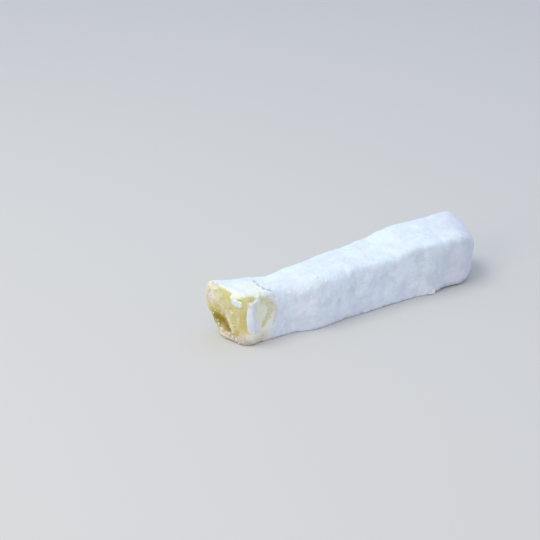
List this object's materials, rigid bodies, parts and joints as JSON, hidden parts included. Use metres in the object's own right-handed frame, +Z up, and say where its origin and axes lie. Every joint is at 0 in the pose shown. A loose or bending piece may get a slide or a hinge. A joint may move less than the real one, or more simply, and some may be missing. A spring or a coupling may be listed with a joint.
{
  "type": "sugar-dusted jelly stick",
  "caption": "Squarish stick of pale yellow starch jelly under thick icing sugar, lying flat, with a bare cut end and a rounded dusted end.",
  "frame": {"origin": "middle of the stick's box, on the plane it lies on", "axes": "+X along the stick from the cut end to the rounded end, +Y across it away from the side the picture shows, +Z up"},
  "size_m": [0.1694, 0.038, 0.0313],
  "materials": {
    "sugar_coat": "dry powder, fully matt",
    "jelly": "soft torn jelly, slightly moist and cloudy"
  },
  "bodies": {
    "root": {"jelly_stick": "sugar_coat"}
  },
  "joints": []
}
